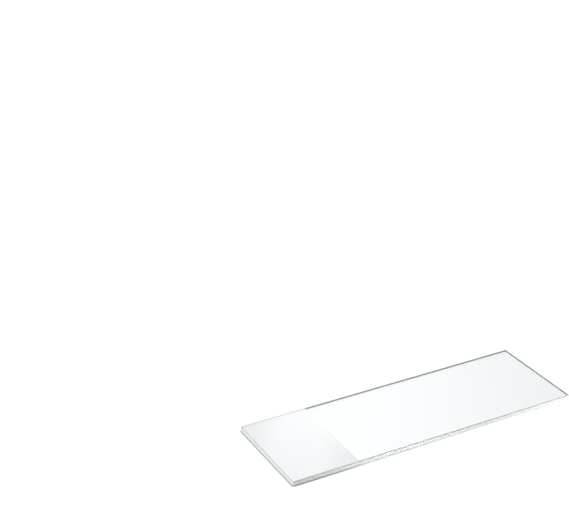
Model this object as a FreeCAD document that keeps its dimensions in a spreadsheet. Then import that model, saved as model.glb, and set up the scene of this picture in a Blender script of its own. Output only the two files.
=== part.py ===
"""Microscope slide: one plate of glass with ground edges and a frosted end.

The plate is 3 x 1 inch. Its edges are ground square to the faces, each arris
between an edge and a face is taken off by a small 45 degree bevel, and the
four upright corners are eased the same way. At one end the top face is frosted
across the full width, so that it can be written on in pencil. The frosting
takes a few hundredths of a millimetre off the glass, so the writing field
lies that much below the polished face.

Frame, in millimetres: the origin is the middle of the underside, +X runs along
the slide towards the clear end, +Y across it, +Z up through the glass. The
frosted end is at -X and the frosted face looks up.
"""

import FreeCAD
import Part

import os

import Sketcher

# Driving dimensions in millimetres: alias, value, meaning.
DIMENSIONS = [
    ("slide_length", 76.2, "overall length, frosted end to clear end (3 inch)"),
    ("slide_width", 25.4, "overall width (1 inch)"),
    ("slide_thickness", 1.2, "thickness of the glass"),
    ("corner_ease", 0.25, "what each upright corner loses along either edge"),
    ("arris_bevel", 0.2, "45 degree bevel between the ground edges and the faces"),
    ("frosted_length", 17.0, "length of the frosted writing field, from the end of the slide"),
    ("frosting_depth", 0.02, "glass taken off the top face by the frosting"),
]

OUTPUT_FOLDER = "parts"

UP = FreeCAD.Vector(0, 0, 1)
PARALLEL = 1e-6  # the sine of the largest angle that still counts as none

# Sketcher's own numbers for a line's two ends and for the sketch's origin.
START, END = 1, 2
ORIGIN = (-1, 1)


def make_sheet(doc):
    """Write the driving dimensions into the sheet "dims", one row each."""
    sheet = doc.addObject("Spreadsheet::Sheet", "dims")
    for row, (alias, value, meaning) in enumerate(DIMENSIONS, start=1):
        sheet.set(f"A{row}", alias.replace("_", " "))
        sheet.set(f"B{row}", str(value))
        sheet.setAlias(f"B{row}", alias)
        sheet.set(f"C{row}", meaning)
    doc.recompute()
    return sheet


def origin_plane(body, role):
    """Return the body's own origin plane of that role, such as XY_Plane."""
    return next(item for item in body.Origin.OriginFeatures if item.Role == role)


def rectangle_sketch(body, name, left, right, front, back):
    """Sketch a rectangle on the body's XY plane, each side placed by a formula.

    A formula gives the side's signed distance from the origin, along X for
    left and right and along Y for front and back.
    """
    sketch = body.newObject("Sketcher::SketchObject", name)
    sketch.AttachmentSupport = [(origin_plane(body, "XY_Plane"), "")]
    sketch.MapMode = "FlatFace"

    # Four lines round a rough square: front, right, back and left side.
    corners = [FreeCAD.Vector(x, y, 0) for x, y in ((-1, -1), (1, -1), (1, 1), (-1, 1))]
    for start, end in zip(corners, corners[1:] + corners[:1]):
        sketch.addGeometry(Part.LineSegment(start, end), False)
    front_side, right_side, back_side, left_side = range(4)

    for side in range(4):
        sketch.addConstraint(Sketcher.Constraint("Coincident", side, END, (side + 1) % 4, START))
    for side in (front_side, back_side):
        sketch.addConstraint(Sketcher.Constraint("Horizontal", side))
    for side in (left_side, right_side):
        sketch.addConstraint(Sketcher.Constraint("Vertical", side))

    placings = [
        ("left", "DistanceX", left_side, left),
        ("right", "DistanceX", right_side, right),
        ("front", "DistanceY", front_side, front),
        ("back", "DistanceY", back_side, back),
    ]
    for label, direction, side, formula in placings:
        rough_place = -1 if side in (left_side, front_side) else 1
        placing = Sketcher.Constraint(direction, *ORIGIN, side, START, rough_place)
        sketch.renameConstraint(sketch.addConstraint(placing), label)
        sketch.setExpression(f"Constraints.{label}", formula)
    return sketch


def upright_edges(shape):
    """Name the edges that stand parallel to Z."""
    return [
        f"Edge{number}"
        for number, edge in enumerate(shape.Edges, start=1)
        if edge.tangentAt(edge.FirstParameter).cross(UP).Length < PARALLEL
    ]


def level_faces(shape):
    """Name the faces that lie square to Z."""
    return [
        f"Face{number}"
        for number, face in enumerate(shape.Faces, start=1)
        if face.normalAt(0, 0).cross(UP).Length < PARALLEL
    ]


def make_glass_slide(doc):
    """Model the slide in the order that it is made: cut, ground, frosted."""
    body = doc.addObject("PartDesign::Body", "glass_slide")
    body.Label = "glass_slide"

    # Cut: a plain plate that stands on the XY plane, centred on the origin.
    outline = rectangle_sketch(
        body,
        "plate_outline",
        left="-dims.slide_length / 2",
        right="dims.slide_length / 2",
        front="-dims.slide_width / 2",
        back="dims.slide_width / 2",
    )
    plate = body.newObject("PartDesign::Pad", "cut_plate")
    plate.Profile = outline
    plate.setExpression("Length", "dims.slide_thickness")
    doc.recompute()

    # Ground: the four upright corners first, so that the bevels then run on
    # round them, along every arris of the top face and of the underside.
    corners = body.newObject("PartDesign::Chamfer", "eased_corners")
    corners.Base = (plate, upright_edges(plate.Shape))
    corners.setExpression("Size", "dims.corner_ease")
    doc.recompute()

    arrises = body.newObject("PartDesign::Chamfer", "bevelled_arrises")
    arrises.Base = (corners, level_faces(corners.Shape))
    arrises.setExpression("Size", "dims.arris_bevel")
    doc.recompute()

    # Frosted: the field runs out over the end and both long edges, so three
    # of its sides lie on the plate's outline. It is cut down from the top face.
    field = rectangle_sketch(
        body,
        "frosted_field",
        left="-dims.slide_length / 2",
        right="dims.frosted_length - dims.slide_length / 2",
        front="-dims.slide_width / 2",
        back="dims.slide_width / 2",
    )
    field.setExpression("AttachmentOffset.Base.z", "dims.slide_thickness")
    frosting = body.newObject("PartDesign::Pocket", "frosting")
    frosting.Profile = field
    frosting.setExpression("Length", "dims.frosting_depth")
    doc.recompute()
    return body


def check_objects(doc, bodies):
    """Stop if any object of the document failed or a body isn't one sound solid."""
    for item in doc.Objects:
        failures = {"Invalid", "Error"} & set(item.State)
        if failures:
            raise RuntimeError(f"{item.Label}: {', '.join(sorted(failures))}")
    for body in bodies:
        if body.Shape.isNull() or not body.Shape.isValid() or len(body.Shape.Solids) != 1:
            raise RuntimeError(f"{body.Label}: not one valid solid")


def check_frosting(doc, sheet):
    """Stop if the frosting didn't take off its field, which a wrong direction would cause."""
    before = doc.getObject("bevelled_arrises").Shape.Volume
    after = doc.getObject("frosting").Shape.Volume
    field = sheet.frosted_length * sheet.slide_width * sheet.frosting_depth
    # The bevels have already taken a rim off three sides of the field.
    rim = (2 * sheet.frosted_length + sheet.slide_width) * sheet.arris_bevel * sheet.frosting_depth
    if not field - rim <= before - after <= field:
        raise RuntimeError(f"frosting took {before - after:.4f} mm3 off a field of {field:.4f} mm3")


def write_step(body):
    """Write the body's solid to parts/LABEL.step and print what it measures."""
    body.Shape.exportStep(os.path.join(OUTPUT_FOLDER, f"{body.Label}.step"))
    box = body.Shape.BoundBox
    print(
        f"{body.Label}: {box.XLength:.2f} x {box.YLength:.2f} x {box.ZLength:.2f} mm, "
        f"{body.Shape.Volume:.2f} mm3, {len(body.Shape.Faces)} faces"
    )


def main():
    doc = FreeCAD.newDocument("microscope_slide")
    sheet = make_sheet(doc)
    bodies = [make_glass_slide(doc)]
    check_objects(doc, bodies)
    check_frosting(doc, sheet)
    os.makedirs(OUTPUT_FOLDER, exist_ok=True)
    for body in bodies:
        write_step(body)


main()
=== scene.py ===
# %% [markdown]
# # A microscope slide, frosted at one end
#
# A microscope slide is one plate of soda-lime glass, 3 x 1 inch and a little over a
# millimetre thick. Three things are done to it after it is cut from the sheet: its edges
# are ground, the sharp arrises along them are taken off, and one end of its top face is
# made matt, so that a pencil writes on it. This lesson makes the slide in that order.
#
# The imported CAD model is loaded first. It says where the slide lies and how large it is.
# The slide could be drawn from written numbers alone, but then the two models could drift
# apart, so every later step takes its place from that model's box. Blender works in metres.

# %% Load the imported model
import math

import bpy
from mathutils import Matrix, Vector


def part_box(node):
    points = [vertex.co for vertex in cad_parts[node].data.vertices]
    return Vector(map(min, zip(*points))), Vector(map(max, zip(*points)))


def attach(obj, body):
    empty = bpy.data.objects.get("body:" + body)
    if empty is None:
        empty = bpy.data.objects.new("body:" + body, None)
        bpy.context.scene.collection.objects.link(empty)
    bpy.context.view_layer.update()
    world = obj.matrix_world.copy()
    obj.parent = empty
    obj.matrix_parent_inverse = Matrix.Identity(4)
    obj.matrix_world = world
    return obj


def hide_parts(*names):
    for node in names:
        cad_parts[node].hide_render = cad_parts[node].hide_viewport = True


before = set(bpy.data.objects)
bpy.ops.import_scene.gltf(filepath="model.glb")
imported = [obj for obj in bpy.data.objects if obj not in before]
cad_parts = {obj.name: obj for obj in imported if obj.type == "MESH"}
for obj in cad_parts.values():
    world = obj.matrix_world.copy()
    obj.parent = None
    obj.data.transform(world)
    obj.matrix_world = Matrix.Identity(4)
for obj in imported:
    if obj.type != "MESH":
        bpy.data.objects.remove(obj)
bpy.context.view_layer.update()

MM = 0.001

low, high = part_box("glass_slide")
length, width, thickness = high - low
middle = (low + high) / 2
print("slide, mm:", [round(size / MM, 3) for size in (length, width, thickness)])

# %% [markdown]
# ## The blank
#
# On the real slide the blank is scored on a sheet of glass and snapped off. A plane could be
# extruded or given a Solidify modifier for it. A cube added at the blank's own size and place
# is shorter, and its edges are already the ones that the wheel goes along. Location and scale
# are applied at once, because the finished piece has to sit at the origin, unscaled, with its
# place in its mesh. A bevel on a scaled object would come out wider one way than the other.

# %% Cut the blank
bpy.ops.object.select_all(action="DESELECT")
bpy.ops.mesh.primitive_cube_add(size=1, location=middle, scale=(length, width, thickness))
slide = bpy.context.object
slide.name = slide.data.name = "frosted_slide"
bpy.ops.object.transform_apply(location=True, rotation=True, scale=True)
print("blank:", len(slide.data.polygons), "faces at", [round(n / MM, 2) for n in middle], "mm")

# %% [markdown]
# ## Choosing edges in code
#
# Edit-mode operators act on whatever is selected, so the edges to grind have to be selected
# first. By hand that is a click, in code it is a test. The test here looks at the two ends
# of an edge, so it still picks the right ones when an earlier step has renumbered them.

# %% Select edges by a test
def select_edges(piece, wanted):
    """Select the edges whose two end points pass the test, and nothing else."""
    bpy.ops.object.mode_set(mode="EDIT")
    bpy.ops.mesh.select_mode(type="EDGE")
    bpy.ops.mesh.select_all(action="DESELECT")
    bpy.ops.object.mode_set(mode="OBJECT")
    points = piece.data.vertices
    for edge in piece.data.edges:
        start, end = (points[index].co for index in edge.vertices)
        edge.select = wanted(start, end)
    return sum(edge.select for edge in piece.data.edges)


def is_upright(start, end):
    return abs(end.z - start.z) > 0.5 * thickness


def is_level(start, end):
    return abs(end.z - start.z) < 0.01 * thickness


print("upright edges:", select_edges(slide, is_upright))
print("level edges:", select_edges(slide, is_level))

# %% [markdown]
# ## Ground corners and seamed arrises
#
# Snapped glass cuts fingers. A wheel first eases the four upright corners by a quarter of a
# millimetre. Then a belt takes a narrow flat at 45 degrees, called a seam, off every arris
# between the edges and the two broad faces. A Bevel modifier could do it, but it would do
# both at one width. The bevel operator with one segment takes off what one such pass does.
# The corners come first, so that the seams run on round them and meet in mitres, as they do
# on the real glass.

# %% Grind the corners, then the arrises
CORNER_EASE = 0.25 * MM
ARRIS_SEAM = 0.20 * MM


def grind(piece, wanted, depth):
    """Take a flat off the edges that pass the test, which costs each face that depth."""
    count = select_edges(piece, wanted)
    bpy.ops.object.mode_set(mode="EDIT")
    bpy.ops.mesh.bevel(offset=depth, offset_type="OFFSET", segments=1, affect="EDGES")
    bpy.ops.object.mode_set(mode="OBJECT")
    print("ground", count, "edges by", round(depth / MM, 3), "mm")


grind(slide, is_upright, CORNER_EASE)
grind(slide, is_level, ARRIS_SEAM)
print("faces now:", len(slide.data.polygons))

# %% [markdown]
# ## Colours and nodes
#
# It is one glass with four surfaces: the polished faces, the ground edges, the seams and
# the frosted field. Each gets a material of its own. People write a colour as sRGB hex, and
# Blender's sockets take linear numbers, so one helper turns the first into the second. A
# second helper adds a node with its settings and its links in one call, which keeps each
# material down to a few lines that can be read from top to bottom. The Mix node has several
# sockets called A and B, so those are given by number: 2 and 3 take plain numbers, 6 and 7
# take colours.

# %% Colour and node helpers
def linear(hex_colour):
    """The linear colour, with alpha, of an sRGB hex colour such as "E8F2F0"."""
    parts = [int(hex_colour[place:place + 2], 16) / 255 for place in (0, 2, 4)]
    return (*[p / 12.92 if p <= 0.04045 else ((p + 0.055) / 1.055) ** 2.4 for p in parts], 1.0)


def add_node(tree, kind, inputs=(), **settings):
    """Add a node. Inputs are pairs of a socket's name or number and a value or a socket."""
    node = tree.nodes.new(kind)
    for name, value in settings.items():
        setattr(node, name, value)
    for place, value in inputs:
        if isinstance(value, bpy.types.NodeSocket):
            tree.links.new(value, node.inputs[place])
        else:
            node.inputs[place].default_value = value
    return node


def new_material(name):
    """An empty material, with its node tree and the output, the only node left in it."""
    material = bpy.data.materials.new(name)
    material.use_nodes = True
    material.node_tree.nodes.clear()
    output = add_node(material.node_tree, "ShaderNodeOutputMaterial")
    return material, material.node_tree, output


print("mid grey 808080 is", round(linear("808080")[0], 3), "linear")

# %% [markdown]
# ## Polished soda-lime glass
#
# The two broad faces were formed when the sheet was drawn, and nothing has touched them
# since. They are clear and mirror-smooth, with the refractive index of soda-lime glass,
# 1.52, and a trace of iron gives them a breath of blue-green. A Glass shader would do, but
# the Principled one carries on into other programs. Drawn sheet is never quite flat: faint
# waves some 6 mm apart run along it and make its reflections swim a little. Noise stretched
# five times along the slide, used as a very weak bump, gives them.

# %% Polished soda-lime glass
SODA_LIME_IOR = 1.52
DRAWN_WAVE = 6.0 * MM
WAVE_STRETCH = 5.0
WAVE_DEPTH = 0.02 * MM

polished_glass, tree, output = new_material("polished_soda_lime_glass")
place = add_node(tree, "ShaderNodeTexCoord")
along_sheet = add_node(tree, "ShaderNodeMapping", [
    ("Vector", place.outputs["Object"]), ("Scale", (1 / WAVE_STRETCH, 1.0, 1.0))])
waves = add_node(tree, "ShaderNodeTexNoise", [
    ("Vector", along_sheet.outputs["Vector"]), ("Scale", 1 / DRAWN_WAVE), ("Detail", 1.0)])
swim = add_node(tree, "ShaderNodeBump", [
    ("Height", waves.outputs["Fac"]), ("Strength", 0.02), ("Distance", WAVE_DEPTH)])
glass = add_node(tree, "ShaderNodeBsdfPrincipled", [
    ("Base Color", linear("FAFEFF")), ("Roughness", 0.0), ("IOR", SODA_LIME_IOR),
    ("Transmission Weight", 1.0), ("Normal", swim.outputs["Normal"])])
tree.links.new(glass.outputs["BSDF"], output.inputs["Surface"])
print(polished_glass.name, "- waves", round(DRAWN_WAVE / MM, 2), "mm apart")

# %% [markdown]
# ## What the wheel leaves
#
# A diamond wheel runs along each edge and leaves fine streaks in that direction. Real ones
# are about 0.03 mm apart, too fine to be seen in a picture of the whole slide, so they are
# drawn five times as coarse. Noise squeezed to thin level lines is closer to them than a
# Wave texture, whose lines are all alike. The same streaks are needed on the edges and on
# the seams, so a function returns them, as a height that can feed a bump or a colour.

# %% Grinding streaks
GRINDING_STREAK = 0.15 * MM
STREAK_STRETCH = 10.0


def grinding_streaks(tree):
    """The wheel's streaks, level and long, as a height from 0 to 1."""
    place = add_node(tree, "ShaderNodeTexCoord")
    along_edge = add_node(tree, "ShaderNodeMapping", [
        ("Vector", place.outputs["Object"]),
        ("Scale", (1 / STREAK_STRETCH, 1 / STREAK_STRETCH, 1.0))])
    streaks = add_node(tree, "ShaderNodeTexNoise", [
        ("Vector", along_edge.outputs["Vector"]),
        ("Scale", 1 / GRINDING_STREAK), ("Detail", 2.0)])
    return streaks.outputs["Fac"]


print("streaks:", round(GRINDING_STREAK / MM, 2), "mm apart,",
      round(GRINDING_STREAK * STREAK_STRETCH / MM, 2), "mm long")

# %% [markdown]
# ## Ground edge
#
# The edge itself is satin: the grit leaves a skin of tiny fractures that scatters most of
# the light, and only some goes on into the plate. A glass shader with high roughness alone
# would show the dark inside of the plate, so most of the weight goes to the shader's pale
# diffuse part and a fifth to transmission. Where the wheel bit deeper the skin is a shade
# greyer, so the streaks also mix two tones that lie close together. The seams are made in
# the same way, so a function makes both materials.

# %% Ground edge
SCRATCH_DEPTH = 0.02 * MM
LET_THROUGH = 0.2


def abraded_glass(name, deep, shallow, roughness):
    """Glass under a skin of fractures, between the tones of its deep and shallow streaks."""
    material, tree, output = new_material(name)
    streaks = grinding_streaks(tree)
    tone = add_node(tree, "ShaderNodeMix", [
        ("Factor", streaks), (6, linear(deep)), (7, linear(shallow))], data_type="RGBA")
    scratches = add_node(tree, "ShaderNodeBump", [
        ("Height", streaks), ("Strength", 0.5), ("Distance", SCRATCH_DEPTH)])
    glass = add_node(tree, "ShaderNodeBsdfPrincipled", [
        ("Base Color", tone.outputs[2]), ("Roughness", roughness), ("IOR", SODA_LIME_IOR),
        ("Transmission Weight", LET_THROUGH), ("Normal", scratches.outputs["Normal"])])
    tree.links.new(glass.outputs["BSDF"], output.inputs["Surface"])
    print(name, "- roughness", roughness)
    return material


ground_glass = abraded_glass("ground_soda_lime_edge", "CCD2D0", "DBE1DF", 0.45)

# %% [markdown]
# ## Seamed arris
#
# The seams are taken off last, by a finer belt held across the arris. They are thin, so they
# collect the dark of the glass behind them and draw the grey line that outlines every slide. The
# edge's material would make that line too pale. A material of their own, rougher and with darker
# tones, keeps the outline: the darker tones are painted shade, standing in for that dark.

# %% Seamed arris
# painted shade: the seam tones are darker than the edge's, to draw the grey outline
seam_glass_painted_darker = abraded_glass("seamed_soda_lime_arris", "A9AEAD", "B7BCBB", 0.5)

# %% [markdown]
# ## Frosted writing field
#
# The field is etched with acid paste or blasted with fine grit, until it is white and matt
# and takes a pencil. Its pits are hundredths of a millimetre wide. They are drawn at a
# quarter of a millimetre here, shallow, so that the field has some tooth in a close view.
# The field is painted a little greyer towards two opposite corners and along the front and the end.
# This is painted shade, standing in for the shading that the field's light gives it. That could be
# noise, but noise would put the shade anywhere. How far a point lies from the other diagonal, mixed
# with how far it lies to the front and the end, puts the painted shade where it belongs. A band
# along that diagonal stays unshaded. One share says how much the end counts beside the front, and
# another how much those two sides count beside the corners.

# %% The field's place and its painted shade
FROSTED_LENGTH = 17.0 * MM
UNSHADED_BAND = 0.25
END_SHARE = 0.33
SIDES_SHARE = 0.43

frosted_glass, tree, output = new_material("frosted_soda_lime_glass")
place = add_node(tree, "ShaderNodeTexCoord")
spread = add_node(tree, "ShaderNodeSeparateXYZ", [("Vector", place.outputs["Object"])])
along = add_node(tree, "ShaderNodeMapRange", [
    ("Value", spread.outputs["X"]), ("From Min", low.x), ("From Max", low.x + FROSTED_LENGTH)])
across = add_node(tree, "ShaderNodeMapRange", [
    ("Value", spread.outputs["Y"]), ("From Min", low.y), ("From Max", high.y)])
off_diagonal = add_node(tree, "ShaderNodeMath", [
    (0, along.outputs["Result"]), (1, across.outputs["Result"])], operation="SUBTRACT")
distance = add_node(tree, "ShaderNodeMath", [(0, off_diagonal.outputs["Value"])],
                    operation="ABSOLUTE")
# painted shade: greyer towards two opposite corners, away from a band along the other diagonal
shaded_corners = add_node(tree, "ShaderNodeMapRange", [
    ("Value", distance.outputs["Value"]), ("From Min", UNSHADED_BAND), ("From Max", 1.0)],
    interpolation_type="SMOOTHSTEP")
inward = add_node(tree, "ShaderNodeMix", [
    ("Factor", END_SHARE), (2, across.outputs["Result"]), (3, along.outputs["Result"])],
    data_type="FLOAT")
shaded_sides = add_node(tree, "ShaderNodeMath", [(0, 1.0), (1, inward.outputs[0])],
                       operation="SUBTRACT")
painted_shade = add_node(tree, "ShaderNodeMix", [
    ("Factor", SIDES_SHARE), (2, shaded_corners.outputs["Result"]), (3, shaded_sides.outputs["Value"])],
    data_type="FLOAT")
print("cloud: over a field of", round(FROSTED_LENGTH / MM, 2), "x", round(width / MM, 2), "mm")

# %% [markdown]
# The painted shade mixes two whites, and the grain gives the pits. Frosting lets some light through
# without a picture, so a part of the weight, 0.15, is rough transmission.
#
# Along the back, the frosting breaks off at a seam that leans away, where the glass shows a dark
# line. The last bit of the field is painted greyer there, a painted shade that draws the outline of
# the field on that side. The front and the end need no such painted line, because their seams can
# be seen and draw the outline themselves.

# %% Frosted writing field
FROST_GRAIN = 0.25 * MM
PIT_DEPTH = 0.02 * MM
BACK_LINE_START, BACK_LINE_FULL = 0.55 * MM, 0.3 * MM

# painted shade: two whites mixed by position, greyer at the corners and along the front and the end
white = add_node(tree, "ShaderNodeMix", [
    ("Factor", painted_shade.outputs[0]), (6, linear("F7FBFC")), (7, linear("DDE1E2"))],
    data_type="RGBA")
# painted shade: the last half millimetre of the field along the back is greyer, to draw its outline
painted_back_line = add_node(tree, "ShaderNodeMapRange", [
    ("Value", spread.outputs["Y"]),
    ("From Min", high.y - BACK_LINE_START), ("From Max", high.y - BACK_LINE_FULL)])
tone = add_node(tree, "ShaderNodeMix", [
    ("Factor", painted_back_line.outputs["Result"]), (6, white.outputs[2]), (7, linear("BEC4C5"))],
    data_type="RGBA")
grain = add_node(tree, "ShaderNodeTexNoise", [
    ("Vector", place.outputs["Object"]), ("Scale", 1 / FROST_GRAIN), ("Detail", 3.0)])
pits = add_node(tree, "ShaderNodeBump", [
    ("Height", grain.outputs["Fac"]), ("Strength", 0.15), ("Distance", PIT_DEPTH)])
glass = add_node(tree, "ShaderNodeBsdfPrincipled", [
    ("Base Color", tone.outputs[2]), ("Roughness", 0.5), ("IOR", SODA_LIME_IOR),
    ("Transmission Weight", 0.15), ("Normal", pits.outputs["Normal"])])
tree.links.new(glass.outputs["BSDF"], output.inputs["Surface"])
print(frosted_glass.name, "- grain", round(FROST_GRAIN / MM, 2), "mm")

# %% [markdown]
# ## Each face its finish
#
# The finishes meet exactly at the edges of the mesh, so each is a material slot and each
# face is told its slot. A mask painted by position could do the same, but it would blur or
# miss at the seams. How far a face tilts tells them apart: the broad faces look straight up
# or down, the seams lean at 45 degrees, and the ground edges stand upright.

# %% Give each face its finish
POLISHED, GROUND, SEAMED, FROSTED = range(4)
for material in (polished_glass, ground_glass, seam_glass_painted_darker, frosted_glass):
    slide.data.materials.append(material)
for face in slide.data.polygons:
    tilt = abs(face.normal.z)
    face.material_index = POLISHED if tilt > 0.9 else SEAMED if tilt > 0.1 else GROUND
slots = [face.material_index for face in slide.data.polygons]
print("polished, ground, seamed faces:", [slots.count(slot) for slot in (POLISHED, GROUND, SEAMED)])

# %% [markdown]
# ## Frosting the end
#
# Frosting takes away a few hundredths of a millimetre of glass, over the end and both long
# edges. Its field therefore lies a hair below the polished face, and a tiny step runs across
# the slide where it stops. Cutting the face and pushing part of it down would bend the
# seams. Instead, a block is laid where the glass goes and taken away by a Boolean modifier.
# The block wears the frosted material, and the modifier is set to hand it on to the cut.
# The block sticks out by a millimetre on three sides, so that no two surfaces coincide.

# %% Frost the end
FROSTING_DEPTH = 0.02 * MM
SPARE = 1.0 * MM

field_end = low.x + FROSTED_LENGTH
bpy.ops.object.select_all(action="DESELECT")
bpy.ops.mesh.primitive_cube_add(
    size=1,
    location=((low.x - SPARE + field_end) / 2, middle.y, high.z - FROSTING_DEPTH + SPARE / 2),
    scale=(FROSTED_LENGTH + SPARE, width + 2 * SPARE, SPARE),
)
removed_glass = bpy.context.object
bpy.ops.object.transform_apply(location=True, rotation=True, scale=True)
removed_glass.data.materials.append(frosted_glass)

bpy.context.view_layer.objects.active = slide
frosting = slide.modifiers.new("frosting", "BOOLEAN")
frosting.operation = "DIFFERENCE"
frosting.solver = "EXACT"
frosting.material_mode = "TRANSFER"
frosting.object = removed_glass
bpy.ops.object.modifier_apply(modifier=frosting.name)
bpy.data.objects.remove(removed_glass)

frosted_area = sum(f.area for f in slide.data.polygons if f.material_index == FROSTED)
print("frosted field:", round(frosted_area / MM**2, 1), "mm2,", len(slide.data.polygons), "faces")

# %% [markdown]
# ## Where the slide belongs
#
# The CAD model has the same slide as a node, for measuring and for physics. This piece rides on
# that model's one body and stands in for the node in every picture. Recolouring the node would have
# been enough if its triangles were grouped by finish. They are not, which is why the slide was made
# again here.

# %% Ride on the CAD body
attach(slide, "root")
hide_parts("glass_slide")
print(slide.name, "rides on root and replaces glass_slide")

# %% [markdown]
# ## White studio paper
#
# Glass takes its look from what is round it, so the floor matters as much as the slide. It
# is a sheet of white paper, a hair below the glass so that the two never flicker.
#
# One cure is to let shadow rays through the glass, which also loses the contact shadow. The
# other, used here, asks what kind of ray looks at the paper. The camera and mirrored rays see
# paper that is a quarter lit, so that it keeps a soft shadow, and for the rest glowing. Rays
# that come through the glass see plain white, and rays that carry light back up to the slide
# meet ordinary pale paper.
#
# The glow fades in the narrow gap under the seams, where the real paper is dark, and that draws a
# painted contact shadow, the line under the slide. Ambient occlusion finds the gap, and a gamma
# above 1 makes it darker still. The painted line is full round the frosted end, which keeps light
# off the paper. Where the clear glass starts, light comes down through it and the painted line
# drops to less than half. Round the middle the painted shadow is faded out by position along the
# slide, and beyond it there is none.

# %% White studio paper
FLOOR_SIZE = 6.0
FLOOR_GAP = 0.02 * MM
LIT_PAPER, GLOWING_PAPER = 0.25, 0.8
PALE_PAPER = 0.9
WHITE = (1.0, 1.0, 1.0, 1.0)
CONTACT_REACH = 0.5 * MM
CONTACT_DEPTH = 1.8
LIGHT_STARTS, LIGHT_FULL = field_end - 4.0 * MM, field_end + 3.0 * MM
LINE_IN_CLEAR_PART = 0.4
LINE_FADES, LINE_GONE = -10.0 * MM, 12.0 * MM


def grey(level):
    """An opaque grey of that linear level."""
    return (level, level, level, 1.0)


bpy.ops.object.select_all(action="DESELECT")
bpy.ops.mesh.primitive_plane_add(size=FLOOR_SIZE, location=(0, 0, low.z - FLOOR_GAP))
floor = bpy.context.object
floor.name = "studio_floor"
bpy.ops.object.transform_apply(location=True, rotation=True, scale=True)

paper, tree, output = new_material("white_studio_paper")
rays = add_node(tree, "ShaderNodeLightPath")
looked_at = add_node(tree, "ShaderNodeMath", [
    (0, rays.outputs["Is Camera Ray"]), (1, rays.outputs["Is Glossy Ray"])],
    operation="ADD", use_clamp=True)
lit = add_node(tree, "ShaderNodeBsdfDiffuse", [("Color", grey(LIT_PAPER))])
gap = add_node(tree, "ShaderNodeAmbientOcclusion", [("Distance", CONTACT_REACH)])
deep_gap = add_node(tree, "ShaderNodeGamma", [
    ("Color", gap.outputs["Color"]), ("Gamma", CONTACT_DEPTH)])
where = add_node(tree, "ShaderNodeTexCoord")
spot = add_node(tree, "ShaderNodeSeparateXYZ", [("Vector", where.outputs["Object"])])
# painted contact shadow: full under the frosted end, weaker under the clear glass
unlit = add_node(tree, "ShaderNodeMapRange", [
    ("Value", spot.outputs["X"]), ("From Min", LIGHT_STARTS), ("From Max", LIGHT_FULL),
    ("To Min", 1.0), ("To Max", LINE_IN_CLEAR_PART)])
# painted contact shadow: faded out by position along the slide, gone past the middle
painted_shadow_fade = add_node(tree, "ShaderNodeMapRange", [
    ("Value", spot.outputs["X"]), ("From Min", LINE_FADES), ("From Max", LINE_GONE),
    ("To Min", 1.0), ("To Max", 0.0)])
strength = add_node(tree, "ShaderNodeMath", [
    (0, unlit.outputs["Result"]), (1, painted_shadow_fade.outputs["Result"])], operation="MULTIPLY")
line = add_node(tree, "ShaderNodeMix", [
    ("Factor", strength.outputs["Value"]), (6, WHITE), (7, deep_gap.outputs["Color"])],
    data_type="RGBA")
glow = add_node(tree, "ShaderNodeEmission", [
    ("Color", line.outputs[2]), ("Strength", GLOWING_PAPER)])
shown = add_node(tree, "ShaderNodeAddShader", [(0, lit.outputs["BSDF"]), (1, glow.outputs[0])])
pale = add_node(tree, "ShaderNodeBsdfDiffuse", [("Color", grey(PALE_PAPER))])
direct = add_node(tree, "ShaderNodeMixShader", [
    (0, looked_at.outputs["Value"]), (1, pale.outputs["BSDF"]), (2, shown.outputs[0])])
behind_glass = add_node(tree, "ShaderNodeEmission", [("Color", WHITE), ("Strength", 1.0)])
surface = add_node(tree, "ShaderNodeMixShader", [
    (0, rays.outputs["Is Transmission Ray"]), (1, direct.outputs[0]), (2, behind_glass.outputs[0])])
tree.links.new(surface.outputs[0], output.inputs["Surface"])
floor.data.materials.append(paper)
print("floor:", FLOOR_SIZE, "m square,", round(FLOOR_GAP / MM, 3), "mm below the slide")

# %% [markdown]
# ## Walls and ceiling
#
# A clear plate shows itself mostly by what its top face mirrors, so it needs a room with
# light and dark in it. An even white world would make it vanish. This room is a white wall
# on the window side, which turns grey and then dark as one looks round to the other side,
# under a pale ceiling. The world finds the wall by the direction of a ray: its dot product
# with the direction of the window is 1 towards it, 0 beside it and -1 away from it. Two
# ranges of that number make the two slopes, from dark to grey and from grey to white.

# %% Walls and ceiling
WINDOW_SIDE = (-0.826, 0.564, 0.0)
WHITE_WALL = 1.2
GREY_WALL = 0.42
DARK_WALL = 0.1
DARK_FROM, GREY_FROM, WHITE_FROM = -0.65, -0.10, 0.04
CEILING = 0.9
CEILING_STARTS, CEILING_FULL = 0.6, 0.9

world = bpy.data.worlds.new("studio_room")
bpy.context.scene.world = world
world.use_nodes = True
tree = world.node_tree
tree.nodes.clear()
output = add_node(tree, "ShaderNodeOutputWorld")
toward = add_node(tree, "ShaderNodeTexCoord")
side = add_node(tree, "ShaderNodeVectorMath", [
    (0, toward.outputs["Generated"]), (1, WINDOW_SIDE)], operation="DOT_PRODUCT")
dark_to_grey = add_node(tree, "ShaderNodeMapRange", [
    ("Value", side.outputs["Value"]), ("From Min", DARK_FROM), ("From Max", GREY_FROM),
    ("To Min", DARK_WALL), ("To Max", GREY_WALL)])
grey_to_white = add_node(tree, "ShaderNodeMapRange", [
    ("Value", side.outputs["Value"]), ("From Min", GREY_FROM), ("From Max", WHITE_FROM),
    ("To Min", 0.0), ("To Max", WHITE_WALL - GREY_WALL)])
walls = add_node(tree, "ShaderNodeMath", [
    (0, dark_to_grey.outputs["Result"]), (1, grey_to_white.outputs["Result"])], operation="ADD")
height = add_node(tree, "ShaderNodeSeparateXYZ", [("Vector", toward.outputs["Generated"])])
overhead = add_node(tree, "ShaderNodeMapRange", [
    ("Value", height.outputs["Z"]), ("From Min", CEILING_STARTS), ("From Max", CEILING_FULL)],
    interpolation_type="SMOOTHSTEP")
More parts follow.
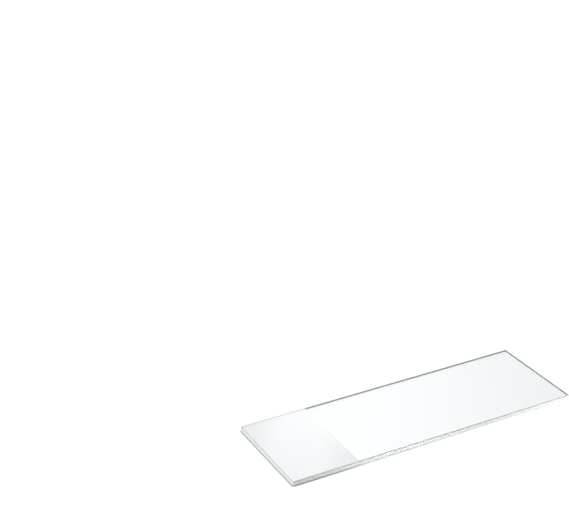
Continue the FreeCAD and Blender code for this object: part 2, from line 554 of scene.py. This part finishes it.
room = add_node(tree, "ShaderNodeMix", [
    ("Factor", overhead.outputs["Result"]), (2, walls.outputs["Value"]), (3, CEILING)],
    data_type="FLOAT")
light = add_node(tree, "ShaderNodeBackground", [("Color", WHITE), ("Strength", room.outputs[0])])
tree.links.new(light.outputs["Background"], output.inputs["Surface"])
print("walls", WHITE_WALL, GREY_WALL, DARK_WALL, "ceiling", CEILING)

# %% [markdown]
# ## Three soft boxes
#
# The big soft box stands to the left, low enough to shine straight at the frosted end, so
# the end's ground edge comes out pale and the long one in front stays grey. A small one near
# the floor on the right lifts the far half of that long edge, and a smaller one in front
# lifts its middle. The front one wears a grid, which keeps its beam narrow: without it the
# lamp would spill onto the frosted field. Sun or point lamps would do the same with hard
# shadows and sparks in the glass. Together with the room the lamps bring the paper to the
# level at which a colour renders about as it is written.

# %% Three soft boxes
def soft_box(name, size, watts, place, aim, beam=180):
    """A square lamp that faces the point it is aimed at, with a beam so many degrees wide."""
    lamp = bpy.data.objects.new(name, bpy.data.lights.new(name, "AREA"))
    lamp.data.shape = "SQUARE"
    lamp.data.size = size
    lamp.data.energy = watts
    lamp.data.spread = math.radians(beam)
    lamp.location = place
    lamp.rotation_euler = (Vector(aim) - Vector(place)).to_track_quat("-Z", "Y").to_euler()
    lamp.visible_camera = lamp.visible_glossy = lamp.visible_transmission = False
    bpy.context.scene.collection.objects.link(lamp)
    print(name, "-", watts, "W,", size, "m square")


soft_box("soft_box_left", size=1.0, watts=7.5, place=(-1.0, 0.1, 0.6), aim=(0.0, 0.0, 0.0))
soft_box("soft_box_right", size=0.03, watts=0.065,
         place=(0.08, -0.065, 0.016), aim=(0.03, low.y, 0.0))
soft_box("soft_box_front", size=0.01, watts=0.0012,
         place=(-0.012, -0.11, 0.012), aim=(-0.012, low.y, middle.z), beam=28)

# %% [markdown]
# ## The camera
#
# One looks at a slide on the bench from in front, a little from the frosted end and from
# above, and that is where the camera stands. It is a portrait lens, 85 mm, from about a third
# of a metre. A longer one from farther off would draw the long edges as good as parallel,
# and here they should run together a little. The direction is written as how far round and
# how far down it looks, since those are easier to adjust than three angles.
#
# One more setting matters to glass. Looking into an edge, a ray bounces dozens of times
# between the two faces before it leaves the plate, and a path that is cut short is black.
# The number of bounces is raised until the edges are clear of that.

# %% Camera
EYE = Vector((-155.2, -224.7, 170.3)) * MM
LOOK_ROUND = math.radians(61.52)
LOOK_DOWN = math.radians(25.47)
BOUNCES = 48

camera = bpy.data.objects.new("camera", bpy.data.cameras.new("camera"))
bpy.context.scene.collection.objects.link(camera)
camera.data.lens = 85.0
camera.data.sensor_width = 36.0
camera.data.clip_start = 0.01
camera.data.clip_end = 20.0
camera.location = EYE
looking = Vector((
    math.cos(LOOK_DOWN) * math.cos(LOOK_ROUND),
    math.cos(LOOK_DOWN) * math.sin(LOOK_ROUND),
    -math.sin(LOOK_DOWN),
))
camera.rotation_euler = looking.to_track_quat("-Z", "Y").to_euler()

scene = bpy.context.scene
scene.camera = camera
scene.view_settings.view_transform = "Standard"
scene.cycles.max_bounces = BOUNCES
scene.cycles.transmission_bounces = BOUNCES
scene.cycles.glossy_bounces = BOUNCES
print("camera", round((EYE - middle).length, 3), "m from the slide")
